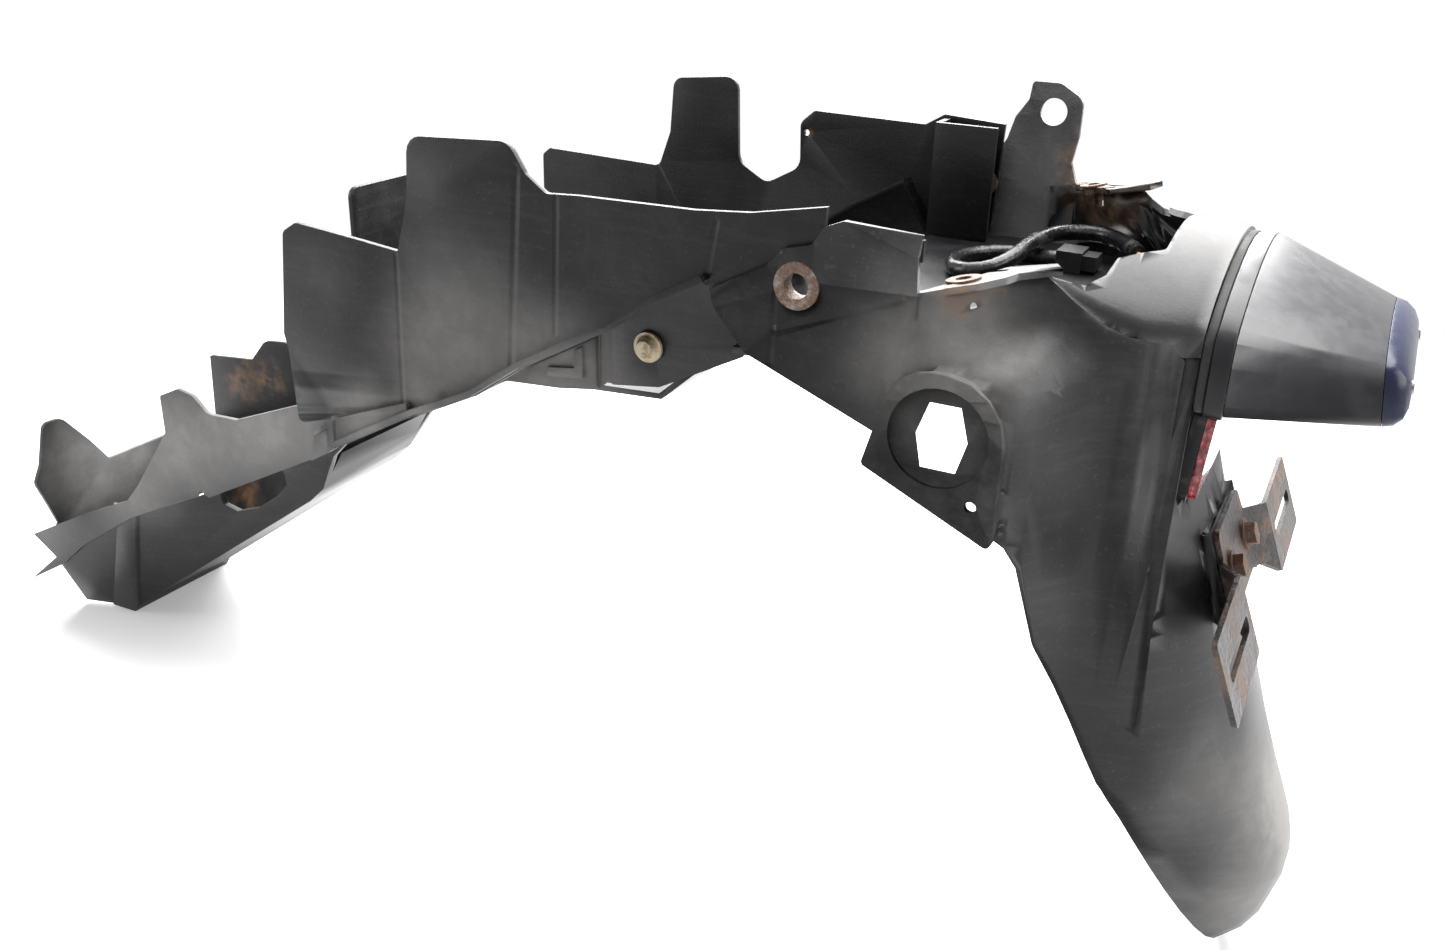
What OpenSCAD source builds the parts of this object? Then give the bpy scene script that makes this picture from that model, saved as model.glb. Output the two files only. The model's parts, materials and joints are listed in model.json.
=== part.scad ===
/* [Walls] */
// Wall thickness of both mouldings
wall_t = 2.6; // [2.0:0.2:3.4]
// Half width over the side walls of the front moulding
wall_half = 117; // [113:1:121]
// Half width over the narrow front end
band_half = 68; // [62:1:74]
// Half width of the foot and the lower body
foot_half = 38; // [32:1:44]
// Gap where the rear arms lie on the front walls
arm_gap = 0.3; // [0.2:0.1:0.6]
// Gap between other pieces that seat on each other
seat_gap = 0.2; // [0.1:0.05:0.3]

/* [Front moulding] */
// Height of the tall tabs on the side walls
tab_top_z = 361; // [350:1:372]
// Height of the low stretch behind the tabs
low_top_z = 345; // [338:1:348]
// Height of the front corners of the side walls
front_top_z = 312; // [302:1:322]
// Height of the tray floor
tray_z = 258; // [252:1:264]
// Outward reach of the ledge along the side walls
ledge_out = 5; // [3:0.5:8]
// Place of the cross bulkhead along the part
bulkhead_x = -70; // [-78:1:-62]
// Height of the cross bulkhead
bulkhead_top_z = 317; // [305:1:322]
// Place of the front cross wall along the part
fin_x = -345; // [-350:1:-338]
// Height of the raised fin
fin_top_z = 134; // [124:1:140]

/* [Rear moulding] */
// Height of the shelf's upper face
shelf_z = 296; // [292:1:300]
// Height of the top skin at the centre line
roof_z = 341; // [338:1:344]
// Crown radius of the top skin at its rear edge
crown_r = 135; // [125:5:160]
// Fall of the top skin towards its rear edge
roof_fall = 2.5; // [1:0.5:4]
// Rounding between the top skin and the sides
roof_r = 12; // [9:1:14]
// Front edge of the top skin beside its notch
roof_front_x = 302; // [299:1:305]
// Depth of the notch in the top skin
notch_depth = 15.5; // [10:0.5:17]
// Half width of the notch in the top skin
notch_half = 45; // [40:1:50]
// Rear face of the tail
rear_x = 336; // [332:1:338]
// Half width of the tail at its rear ridge
tail_half = 75; // [72:1:80]
// Reach of the ridge behind the rear face
ridge_out = 5; // [3:0.5:8]
// Rearmost reach of the flap
flap_x = 411; // [404:1:416]
// Half width over the side pods
pod_half = 128; // [125:1:131]
// Pod centre along the part
pod_x = 262; // [258:1:266]
// Pod centre height
pod_z = 277; // [274:1:280]
// Pod recess diameter
pod_recess_d = 38.6; // [34:0.2:42]
// Pod recess depth
pod_recess_depth = 1.6; // [0.8:0.2:2.0]
// Width of the six-sided hole in the pod
pod_hole_w = 20; // [16:0.5:24]
// Height of the six-sided hole in the pod
pod_hole_h = 26; // [20:0.5:30]
// Small screw hole in the pod
pod_screw_d = 4.5; // [3:0.1:6]
// Hole in the ear of the right arm
ear_hole_d = 13.4; // [10:0.2:16]

/* [Collars and bushes] */
// Collar centre along the part
collar_x = 200; // [196:1:204]
// Collar centre height
collar_z = 323; // [320:1:326]
// Collar bore
collar_bore = 10; // [8:0.2:11]
// Collar barrel diameter
collar_barrel_d = 14; // [13:0.2:16]
// Collar flange diameter
collar_flange_d = 18.4; // [17:0.2:22]
// Collar flange thickness
collar_flange_t = 1.2; // [0.8:0.1:2]
// Ledge bolt hole place along the part
ledge_hole_x = 258.5; // [256:0.5:261]
// Ledge bolt hole distance from the centre line
ledge_hole_y = 103; // [100:0.5:105]
// Height of the ledge at its bolt hole
ledge_hole_z = 330; // [327:0.5:333]
// Rise of the ledge towards the rear
ledge_tilt = 13; // [8:1:16]
// Ledge bush bore
bush_bore = 6; // [5:0.2:7]
// Ledge bush barrel diameter
bush_d = 9; // [8:0.2:11]
// Ledge bush flange diameter
bush_flange_d = 13; // [12:0.2:15]

/* [Lamp] */
// Lamp width where it meets the tail
lamp_w = 150; // [140:1:156]
// Lamp width at its rear end
lamp_end_w = 106; // [96:1:116]
// Lower edge of the lamp
lamp_low_z = 284; // [280:1:288]
// Top of the lamp at its rear end
lamp_end_top_z = 316; // [312:1:322]
// Step from the crown of the top skin down to the lamp
lamp_drop = 4; // [3:0.5:6]
// Gasket thickness
gasket_t = 3.5; // [2:0.25:5]
// Depth of the lamp base
lamp_base_t = 7; // [6:0.5:10]
// Length of the lamp housing
lamp_len = 52.5; // [46:0.5:58]
// Depth of the domed lens
lens_depth = 9; // [7:0.5:12]
// Lamp wall thickness
lamp_t = 2.4; // [1.6:0.2:3]
// Lean of the lamp's rear end
lamp_end_tilt = 8; // [4:1:12]
// Stud spacing of the lamp
lamp_stud_pitch = 90; // [70:2:100]
// Stud diameter of the lamp
lamp_stud_d = 5; // [4:0.5:6]
// Height of the studs and the loom hole
lamp_stud_z = 312; // [306:1:316]
// Hole for the loom in the rear face
loom_hole_d = 16; // [14:0.5:20]

/* [Reflector] */
// Reflector width
refl_w = 94; // [80:1:104]
// Reflector height
refl_h = 40; // [32:1:42]
// Backing depth
refl_back_t = 5; // [4:0.5:7]
// Lens depth
refl_lens_t = 3.5; // [2.5:0.5:5]

/* [Plate bracket] */
// Sheet thickness
bracket_t = 2.2; // [1.6:0.2:3]
// Lean of the bracket from upright
bracket_tilt = 22; // [16:1:26]
// Ear width
ear_w = 65; // [58:1:70]
// Ear height
ear_h = 35; // [30:1:40]
// Ear centre distance from the centre line
ear_y = 72; // [70:0.5:76]
// Slot length
slot_len = 48.5; // [40:0.5:50]
// Slot width
slot_w = 7; // [6:0.5:9]
// Depth of the joggle between the ears and the middle
joggle = 8; // [6:0.5:11]
// Bracket bolt spacing
bracket_bolt_pitch = 36; // [30:1:40]
// Bracket bolt diameter
bracket_bolt_d = 6; // [5:0.5:6.5]

/* [Hidden] */
$fn = 48;

function unit(v) = v / norm(v);
function left_of(v) = [-v[1], v[0]];
function smooth(t) = let (s = max(0, min(1, t))) s * s * (3 - 2 * s);
function mix(a, b, t) = a + (b - a) * t;
function xy(p) = [p[0], p[1]];

// Replaces the corner b by an arc of radius r that touches both sides
function arc_corner(a, b, c, r, n = 4) =
    let (u = unit(a - b), v = unit(c - b), half = acos(u * v) / 2)
    let (o = b + unit(u + v) * (r / sin(half)), s = b + u * (r / tan(half)) - o, e = b + v * (r / tan(half)) - o)
    let (a0 = atan2(s[1], s[0]), turn = atan2(s[0] * e[1] - s[1] * e[0], s * e))
    [for (k = [0 : n]) o + r * [cos(a0 + turn * k / n), sin(a0 + turn * k / n)]];

// An outline of points [x, y, corner radius]
function rounded(p) =
    let (n = len(p))
    [for (i = [0 : n - 1])
        each len(p[i]) > 2
            ? arc_corner(xy(p[(i + n - 1) % n]), xy(p[i]), xy(p[(i + 1) % n]), p[i][2])
            : [p[i]]];

function side_at(p, i) =
    let (last = len(p) - 1)
    let (a = left_of(unit(p[max(i, 1)] - p[max(i, 1) - 1])))
    let (b = left_of(unit(p[min(i, last - 1) + 1] - p[min(i, last - 1)])))
    let (m = unit(a + b))
    m / (m * a);

// A strip of even thickness along a line of points
function ribbon(p, t) = concat(p, [for (i = [len(p) - 1 : -1 : 0]) p[i] + t * side_at(p, i)]);

// Upright plate along the part: outline in x and z, between two y places
module long_plate(outline, y0, y1)
    translate([0, max(y0, y1), 0]) rotate([90, 0, 0]) linear_extrude(abs(y1 - y0)) polygon(outline);

// Upright plate across the part: outline in y and z, between two x places
module cross_plate(outline, x0, x1)
    translate([min(x0, x1), 0, 0]) rotate([90, 0, 90]) linear_extrude(abs(x1 - x0)) polygon(outline);

// Every node is drawn from the tail's own datum and set over the middle of the part's box
centre_x = 21.2;
module centred() translate([-centre_x, 0, 0]) children();

module both_sides() {
    children();
    mirror([0, 1, 0]) children();
}

// Closed shell between two grids of points
module grid_shell(outer, inner) {
    rows = len(outer);
    cols = len(outer[0]);
    count = rows * cols;
    points = [for (g = [outer, inner]) for (row = g) each row];
    quads = concat(
        [for (i = [0 : rows - 2]) for (j = [0 : cols - 2])
            [i * cols + j, i * cols + j + 1, (i + 1) * cols + j + 1, (i + 1) * cols + j]],
        [for (i = [0 : rows - 2]) for (j = [0 : cols - 2])
            [for (k = [i * cols + j, (i + 1) * cols + j, (i + 1) * cols + j + 1, i * cols + j + 1]) k + count]],
        [for (j = [0 : cols - 2]) [j + 1, j, j + count, j + 1 + count]],
        [for (j = [0 : cols - 2]) let (k = (rows - 1) * cols + j) [k, k + 1, k + 1 + count, k + count]],
        [for (i = [0 : rows - 2]) let (k = i * cols) [k, k + cols, k + cols + count, k + count]],
        [for (i = [0 : rows - 2]) let (k = i * cols + cols - 1) [k + cols, k, k + count, k + cols + count]]);
    triangles = [for (q = quads) each [[q[0], q[2], q[1]], [q[0], q[3], q[2]]]];
    polyhedron(points = points, faces = triangles);
}

// Front moulding
ledge_line = [[-37, 207], [9, 232], [35, 244], [46, 249], [72, 267], [117, 292], [133, 303], [161, 319]];
wall_foot = [[161, 318], [133, 302], [117, 291], [72, 266], [46, 248], [35, 243], [-62, 213, 3]];
wall_tail = [[209, low_top_z + 8], [206, 300], [178, 293]];
near_wall = rounded(concat(
    [[-64, 250], [-66, 258], [-60, front_top_z - 4, 4], [-52, front_top_z + 1, 3], [-14, front_top_z - 2],
     [7, front_top_z - 4, 1], [14, 332, 3], [16, tab_top_z - 2, 8], [68, tab_top_z + 1, 8], [76, 350, 4],
     [86, low_top_z - 2, 3], [101, low_top_z - 1], [154, low_top_z], [178, low_top_z + 2]],
    wall_tail, wall_foot));
far_wall = rounded(concat(
    [[-74, 270], [-74, front_top_z - 4, 3], [-69, front_top_z, 2], [7, front_top_z - 2, 4], [14, 330],
     [16, tab_top_z - 1, 6], [56, tab_top_z + 3, 7], [58, 318, 8], [76, 308, 8], [96, 319, 8], [95, low_top_z - 2, 5],
     [103, low_top_z + 5, 3], [166, low_top_z + 4, 3], [176, low_top_z + 10, 3], [208, low_top_z + 8]],
    [[206, 300], [178, 293]], wall_foot));
floor_line = [[-116, 156], [-100, 182], [-62, 204], [9, 230], [44, 247], [56, tray_z - 3], [134, tray_z + 2],
    [168, shelf_z - wall_t - seat_gap - wall_t], [192, shelf_z - wall_t - seat_gap - wall_t]];
band_top = [[-219, 158], [-219, 181, 2], [-204, 188, 3], [-192, 186, 5], [-182, 177, 8], [-160, 178], [-113, 196], [-98, 204]];
band_low = [[-102, 168], [-114, 162], [-190, 123], [-197, 126], [-201, 121], [-223, 111], [-262, 92], [-312, 60]];
near_band = rounded(concat(band_top, band_low,
    [[-335, 41], [-370, 21], [-340, 45], [-359, 57], [-304, 85], [-262, 104], [-250, 117]]));
far_band = rounded(concat(
    [[-329, 90], [-326, 148, 1], [-286, 152], [-272, 168, 8], [-255, 170, 4], [-225, 168], [-160, 178], [-98, 204]],
    band_low, [[-345, 50]]));
foot_line = [[-350, 0], [-312, 0], [-140, 121], [-128, 132], [-112, 158]];
fin_outline = rounded([[-band_half, 50], [-59, 65], [-64, 80], [-70, 97, 6], [-64, 108, 10], [-57, fin_top_z, 5],
    [-44, fin_top_z, 8], [-26, 112], [-14, 95], [band_half, 95], [band_half, 40]]);

module side_wall(outline) {
    long_plate(outline, -wall_half, -wall_half + wall_t);
}

module ledge() {
    long_plate(ribbon(ledge_line, wall_t), -wall_half - ledge_out, -104);
    long_plate([[-37, 206], [-35, 222], [8, 238], [9, 231]], -wall_half - 3, -wall_half + wall_t);
    long_plate(ribbon([[176.2, shelf_z + 0.9], [160.2, 320.2]], wall_t), -wall_half, -104);
}

module side_panel() {
    difference() {
        union() {
            long_plate(rounded([[44, 248], [56, 254, 2], [84, 256], [103, tray_z + 1, 2], [108, tray_z + 5], [112, tray_z + 5],
                [134, tray_z + 8, 6], [172, 286], [178, 293], [161, 319], [133, 303], [117, 292], [72, 267]]), -107, -107 + wall_t);
            long_plate([[68, 257], [104, 260], [104, 283], [70, 264]], -109, -106);
            long_plate([[80, 262], [98, 264], [98, 278], [94, 276], [94, 268], [80, 266]], -110.5, -106);
        }
        long_plate([[105, 255], [111, 255], [111, 300], [105, 300]], -110, -106.2);
    }
}

module lower_body() {
    side = [[-320, 6], [-312, 0], [-140, 121], [-128, 132], [-112, 158], [-102, 168], [-190, 124], [-262, 92], [-272, 84]];
    intersection() {
        long_plate(side, -band_half, band_half);
        difference() {
            body_prism(0);
            body_prism(wall_t);
        }
    }
    long_plate(ribbon(foot_line, wall_t), -foot_half, foot_half);
    intersection() {
        long_plate([[-322, 4], [-308, 0], [-262, 92], [-278, 84]], -band_half, band_half);
        difference() {
            body_prism(-2.5);
            body_prism(wall_t / 2);
        }
    }
}

// Side of the trough where it runs on to the fin
module trough_cheek() intersection() {
    long_plate([[-345, wall_t], [-312, wall_t], [-262, 90], [-290, 108], [-345, 92]], 0, band_half - 0.5);
    difference() {
        body_prism(0);
        body_prism(wall_t);
    }
}

// Hooked opening at the top of the trough's near wall
hook_cut = [[-199, 110], [-192, 105], [-177, 110], [-160, 122], [-150, 132], [-148, 141], [-150, 152], [-165, 145],
    [-184, 134], [-197, 124]];

// Trough section square to the slope, grown or shrunk by an inset
module body_prism(inset) {
    rise = 35.1;
    low = foot_half - inset;
    high = band_half - inset;
    translate([-312, 0, 0]) rotate([0, -rise, 0]) rotate([90, 0, 90]) translate([0, 0, -60])
        linear_extrude(330) polygon([[-low, inset], [low, inset], [high, 60], [-high, 60]]);
}

module web() {
    plan = ribbon([[-106, -band_half], [-90, -band_half - 4], [-40, -wall_half - 1], [-32, -wall_half]], wall_t);
    intersection() {
        translate([0, 0, 150]) linear_extrude(100) polygon(plan);
        long_plate([[-108, 164], [-37, 206], [-31, 210], [-31, 224], [-60, 216], [-108, 200]], -130, -60);
    }
}

module floor_skin() {
    plan = [[-118, -foot_half], [-104, -band_half + 1], [-36, -wall_half + 1], [50, -wall_half + 1], [50, -105],
        [172, -105], [172, -wall_half + 1], [192, -wall_half + 1]];
    intersection() {
        long_plate(ribbon(floor_line, wall_t), -wall_half, wall_half);
        translate([0, 0, 100]) linear_extrude(300) polygon(concat(plan, [for (i = [len(plan) - 1 : -1 : 0]) [plan[i][0], -plan[i][1]]]));
    }
}

module front_body() {
    side_wall(near_wall);
    mirror([0, 1, 0]) side_wall(far_wall);
    both_sides() ledge();
    both_sides() side_panel();
    long_plate(near_band, -band_half, -band_half + wall_t);
    long_plate(far_band, band_half - wall_t, band_half);
    lower_body();
    both_sides() trough_cheek();
    both_sides() web();
    floor_skin();
    cross_plate(rounded([[-60, 200], [60, 200], [60, bulkhead_top_z, 5], [-60, bulkhead_top_z, 5]]),
        bulkhead_x - wall_t / 2, bulkhead_x + wall_t / 2);
    cross_plate(fin_outline, fin_x - wall_t / 2, fin_x + wall_t / 2);
    translate([177, 97, shelf_z + 0.3]) cube([wall_t, wall_half - 97 - 1, 57]);
    translate([177, 97, shelf_z + 0.3]) cube([32, wall_t, 57]);
}

module front_fender() color("#26272a") centred() difference() {
    front_body();
    both_sides() collar_hole();
    both_sides() translate([clip_x, -panel_out + 6, clip_z]) rotate([90, 0, 0]) cylinder(d = clip_shank_d + 2 * seat_gap, h = 12);
    translate([99, wall_half + 3, 338]) rotate([90, 0, 0]) cylinder(d = 3.3, h = 8);
    joint_screw_holes();
    long_plate(rounded([for (p = hook_cut) [p[0], p[1], 2]]), -64, -foot_half - 2);
}

// Rear moulding
arm_half = wall_half + arm_gap + wall_t;
function pod_low(x) = mix(261, 237, (x - 233) / 53);
function side_low(x) = x < 286 ? pod_low(x)
    : lookup(x, [[286, 236], [289, 233], [294, 223], [300, 182], [307, 165], [319.5, 139.5],
        [rear_x, 111]]);
function ledge_height(x) = ledge_hole_z + tan(ledge_tilt) * (x - ledge_hole_x);
function side_top(x) = x < 276 ? ledge_height(x)
    : lookup(x, [[276, ledge_height(276)], [282, ledge_height(276) + 1], [288, 331], [297, 323], [308, 316], [318, 311.5],
        [rear_x, 310]]);
function base_half(x) = mix(100, tail_half, pow(max(0, x - 246) / (rear_x - 246), 1.15));
function bulge(x, z) =
    let (over = mix(1, smooth((320 - z) / 24), smooth((x - 246) / 32)))
    smooth((316 - x) / 36) * over * smooth((z - 140) / 85);
function pod_rise(x, z) = 6 * smooth((46 - norm([x - pod_x, z - pod_z])) / 18);
function side_half(x, z) = mix(base_half(x), arm_half - 0.2, bulge(x, z)) + pod_rise(x, z) * smooth((x - 236) / 12);

function flare(z) = 1 + 0.065 * smooth((150 - z) / 40);
function flap_edge_y(z) = tail_half * pow(min(1, max(0, z) / 112), 0.62);
function flap_edge_x(z) = z > 115 ? rear_x : 389 - 0.46 * z;
function flap_mid_x(z) = lookup(z, [[0, 389], [9, 397], [27, flap_x - 6], [55, flap_x], [70, flap_x - 2], [94, flap_x - 13],
    [116, 389], [134, 383], [165, 372], [193, 362], [219, 351], [232, 344], [245, rear_x + 1], [283, rear_x], [345, rear_x]]);
function flap_low(y) = 112 * pow(abs(y) / tail_half, 1 / 0.62);
function rear_skin_x(y, z) =
    let (t = min(1, abs(y) / flap_edge_y(max(z, 0.5))))
    mix(flap_edge_x(z), flap_mid_x(z), pow(1 - pow(t, 2.3), 0.8));

side_stations = [234, 239, 244, 249, 254, 259, 264, 269, 274, 279, 284, 289, 294, 300, 308, 316, 324, 331];
rear_stations = [-tail_half, -71, -65, -57, -48, -38, -28, -18, -9, 0];
skin_rows = 28;
function skin_point(i, col) =
    let (v = i / skin_rows)
    col < len(side_stations)
        ? let (x = side_stations[col], z = mix(side_low(x), side_top(x), v)) [x, -side_half(x, z) * flare(z), z]
        : let (y = rear_stations[col - len(side_stations)])
            let (z = mix(flap_low(y) + 0.01, crown_z(y, tail_half, rear_x) - wall_t / 2, v))
            [rear_skin_x(y, z), y * flare(z), z];
half_cols = len(side_stations) + len(rear_stations);
near_skin = [for (i = [0 : skin_rows]) [for (c = [0 : half_cols - 1]) skin_point(i, c)]];
tail_skin = [for (row = near_skin) concat(row, [for (c = [half_cols - 2 : -1 : 0]) [row[c][0], -row[c][1], row[c][2]]])];
function grid_normal(g, i, j) =
    let (i0 = max(0, i - 1), i1 = min(len(g) - 1, i + 1), j0 = max(0, j - 1), j1 = min(len(g[0]) - 1, j + 1))
    unit(cross(g[i][j1] - g[i][j0], g[i1][j] - g[i0][j]));
function inner_grid(g, t) = [for (i = [0 : len(g) - 1]) [for (j = [0 : len(g[0]) - 1]) g[i][j] - t * grid_normal(g, i, j)]];

// Height of the crowned top at a distance y from the centre line, where its half width is h
function crown(x) = 1 / (2 * crown_r) * lookup(x, [[276, 0.12], [284, 0.22], [300, 0.6], [318, 0.92], [rear_x, 1]]);
function corner_drop(p) = 1 - pow(max(0, 1 - pow(min(1, p), 6)), 1 / 6);
function crown_z(y, h, x) =
    roof_z - roof_fall * max(0, x - roof_front_x) / (rear_x + ridge_out - roof_front_x) - crown(x) * y * y
        - corner_drop(abs(y) / h) * lookup(x, [[282, 1], [297, 5], [318, roof_r - 2], [rear_x, roof_r]]);

// Top skin: crowned sections across the part, cut back to the rim of the opening
module top_skin() {
    stations = [280, 284, 288, 293, 298, 304, 311, 319, 328, rear_x, rear_x + ridge_out];
    steps = 18;
    function half(x) = base_half(min(x, rear_x)) - 0.2 - 0.3 * max(0, x - rear_x);
    function edge_point(x, a) = let (y = -half(x) * cos(a)) [x, y, crown_z(y, half(x), x)];
    grid = [for (k = [0 : steps]) [for (x = stations) edge_point(x, k * 180 / steps)]];
    rim = [[roof_front_x + notch_depth, 0], [roof_front_x + notch_depth, -notch_half + 9, 6],
        [roof_front_x + notch_depth * 0.55, -notch_half + 2, 4], [roof_front_x + 1, -notch_half - 8, 3],
        [roof_front_x, -notch_half - 22, 4], [roof_front_x - 5, -78.5, 3], [roof_front_x - 19, -91], [roof_front_x - 30, -130]];
    difference() {
        grid_shell(grid, inner_grid(grid, wall_t));
        both_sides() translate([0, 0, 300]) linear_extrude(60) polygon(rounded(concat(rim, [[roof_front_x - 30, 0]])));
    }
}

module arm(outline) long_plate(outline, -arm_half, -arm_half + wall_t);

arm_low = [[163, 316], [165, 309], [179, 293], [238, 270], [247, 272]];
arm_top = [[209, 346, 3], [205, 339, 4], [193, 336, 3], [187, 329, 2]];
arm_broken = rounded(concat(arm_low, [[247, 326], [246, 340], [247, 348], [217, 349.5, 2]], arm_top));
arm_whole = rounded(concat(arm_low, [[247, 326], [243, 337], [245, 350], [245, 368, 6], [233, 375, 7], [219, 375, 2],
    [218, 366, 3], [212, 357, 4]], arm_top));

module ledge_frame() translate([ledge_hole_x, 0, ledge_hole_z]) rotate([0, -ledge_tilt, 0]) children();

module rear_ledge() {
    plan = [[-13, -118], [8, -111], [16, -104], [19, -98], [34, -95], [30, -86], [12, -84], [-12, -116]];
    difference() {
        ledge_frame() translate([0, 0, -wall_t]) linear_extrude(wall_t) polygon(plan);
        ledge_frame() translate([6, -ledge_hole_y + 11, -wall_t - 1]) cube([7, 3, wall_t + 2]);
    }
}

module ledge_bolt_hole() ledge_frame() translate([0, -ledge_hole_y, 0]) {
    translate([0, 0, -10]) cylinder(d = bush_d + 2 * seat_gap, h = 20);
    cylinder(d = bush_flange_d + 1, h = 4);
}

pod_outline = rounded([[233, 261, 2], [286, 237, 2], [pod_x + 24.5, pod_z + 24.5, 23], [244, pod_z + 24.5, 18]]);
pod_hole = [[-0.28 * pod_hole_w, pod_hole_h / 2], [0.32 * pod_hole_w, pod_hole_h / 2], [pod_hole_w / 2, 0],
    [0.32 * pod_hole_w, -pod_hole_h / 2], [-0.36 * pod_hole_w, -pod_hole_h / 2], [-pod_hole_w / 2, 0]];

module pod_boss() long_plate(pod_outline, -pod_half, -arm_half + wall_t);
module pod_cavity()
    translate([0, -arm_half + 14, 0]) rotate([90, 0, 0])
        linear_extrude(pod_half - wall_t - arm_half + 14) offset(delta = -wall_t) polygon(pod_outline);
module pod_cuts() {
    translate([pod_x, -pod_half + pod_recess_depth, pod_z]) rotate([90, 0, 0]) cylinder(d = pod_recess_d, h = 10);
    translate([pod_x + 1, -pod_half + 12, pod_z]) rotate([90, 0, 0]) linear_extrude(20) polygon(pod_hole);
    translate([pod_x + 15, -pod_half + 12, pod_z - 24]) rotate([90, 0, 0]) cylinder(d = pod_screw_d, h = 20);
}

module shelf() {
    inset = 1.4;
    free = wall_half - wall_t - 1;
    edge = concat([[178.5, -free], [212, -free], [214, -arm_half + inset], [240, -arm_half + inset]],
        [for (x = [248, 255, 262, 269, 276, 282, 288, 294, 301, 308, 316, 324, 331]) [x, -side_half(x, shelf_z) + inset]],
        [[rear_x - inset, -tail_half + 2 * inset]]);
    translate([0, 0, shelf_z - wall_t]) linear_extrude(wall_t)
        polygon(concat(edge, [for (i = [len(edge) - 1 : -1 : 0]) [edge[i][0], -edge[i][1]]]));
}

module ridge() {
    slope = 0.3;
    y = -tail_half + 0.6;
    strip = [[rear_x - 3, y - 3 * slope], [rear_x + ridge_out, y + ridge_out * slope],
        [rear_x + ridge_out, y + wall_t + ridge_out * slope], [rear_x - 3, y + wall_t - 3 * slope]];
    intersection() {
        linear_extrude(400) polygon(strip);
        long_plate([[rear_x - 6, 128], [rear_x + 1, 116], [rear_x + ridge_out, 110], [rear_x + ridge_out, 308],
            [rear_x - 6, 308]], -100, 0);
    }
}

// The bracket's own frame: x out of the plate, z up along it. Its pad's face is at pad_x, pad_z
pad_x = 364.7;
pad_z = 189.8;
pad_t = 5.7;
pad_half = 33;
pad_low = -8;
pad_high = 33;
pad_out = joggle + bracket_t / 2 + seat_gap;
module bracket_frame() translate([pad_x, 0, pad_z]) rotate([0, -bracket_tilt, 0]) translate([pad_out, 0, 0]) children();
bolt_up = 12;

module bracket_pad() bracket_frame() translate([-pad_out - pad_t, -pad_half, pad_low])
    cube([pad_t, 2 * pad_half, pad_high - pad_low]);

// Room for the bracket's middle in front of its pad, and flat seats for the washers behind it
module bracket_room() bracket_frame() {
    translate([-pad_out, -pad_half, pad_low]) cube([14, 2 * pad_half, pad_high - pad_low]);
    for (y = [-bracket_bolt_pitch / 2, bracket_bolt_pitch / 2])
        translate([-pad_out - pad_t - 20, y, bolt_up]) rotate([0, 90, 0]) cylinder(d = damper_d + 2, h = 20);
}

// The reflector's own frame: x out of its face
refl_z = 258;
refl_tilt = 4;
refl_pad_t = 5;
module refl_frame() translate([rear_x + 2, 0, refl_z]) rotate([0, refl_tilt, 0]) children();
module refl_pad() refl_frame() translate([-refl_pad_t, -refl_w / 2, -refl_h / 2]) cube([refl_pad_t, refl_w, refl_h]);
module refl_room() refl_frame() {
    translate([0, -refl_w / 2 - 1, -refl_h / 2 - 1]) cube([12, refl_w + 2, refl_h + 2]);
    translate([-refl_pad_t - 12, 0, 0]) rotate([0, 90, 0]) cylinder(d = 14, h = 12);
}

module rear_wall_cuts() {
    for (y = [-lamp_stud_pitch / 2, lamp_stud_pitch / 2])
        translate([rear_x - 10, y, lamp_stud_z]) rotate([0, 90, 0]) cylinder(d = lamp_stud_d + 2 * seat_gap, h = 20);
    translate([rear_x - 10, 0, lamp_stud_z]) rotate([0, 90, 0]) cylinder(d = loom_hole_d, h = 20);
    refl_frame() translate([-20, 0, 0]) rotate([0, 90, 0]) cylinder(d = lamp_stud_d + 2 * seat_gap, h = 24);
    for (y = [-bracket_bolt_pitch / 2, bracket_bolt_pitch / 2])
        bracket_frame() translate([-30, y, bolt_up]) rotate([0, 90, 0]) cylinder(d = bracket_bolt_d + 2 * seat_gap, h = 30);
}

module collar_hole() translate([collar_x, -arm_half + 10, collar_z]) rotate([90, 0, 0])
    cylinder(d = collar_barrel_d + 2 * seat_gap, h = 20);

module joint_screw_holes() for (y = [-60, 60]) translate([184, y, 270]) cylinder(d = screw_d + 2 * seat_gap, h = 60);

module rear_fender() color("#2b2c2f") centred() difference() {
    union() {
        grid_shell(tail_skin, inner_grid(tail_skin, wall_t));
        top_skin();
        arm(arm_broken);
        mirror([0, 1, 0]) arm(arm_whole);
        long_plate([[213, 338], [247, 338], [247, 346], [218, 347]], -arm_half + wall_t - 0.1, -arm_half + 2 * wall_t);
        both_sides() rear_ledge();
        both_sides() pod_boss();
        both_sides() ridge();
        shelf();
        translate([rear_x - 1, -tail_half + 3, lamp_low_z]) cube([ridge_out + 1, 2 * tail_half - 6, wall_t]);
        bracket_pad();
        refl_pad();
    }
    bracket_room();
    refl_room();
    both_sides() pod_cavity();
    both_sides() pod_cuts();
    both_sides() ledge_bolt_hole();
    both_sides() collar_hole();
    translate([231, arm_half + 5, 361]) rotate([90, 0, 0]) cylinder(d = ear_hole_d, h = 20);
    rear_wall_cuts();
    joint_screw_holes();
}

// Steel collars and bushes
module collar() color("#8a6a55") rotate([90, 0, 0]) difference() {
    union() {
        cylinder(d = collar_flange_d, h = collar_flange_t);
        translate([0, 0, -6]) cylinder(d = collar_barrel_d, h = 6.1);
    }
    translate([0, 0, -7]) cylinder(d = collar_bore, h = 10);
}

module collar_left() centred() translate([collar_x, -arm_half - seat_gap / 2, collar_z]) collar();
module collar_right() mirror([0, 1, 0]) collar_left();

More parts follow.
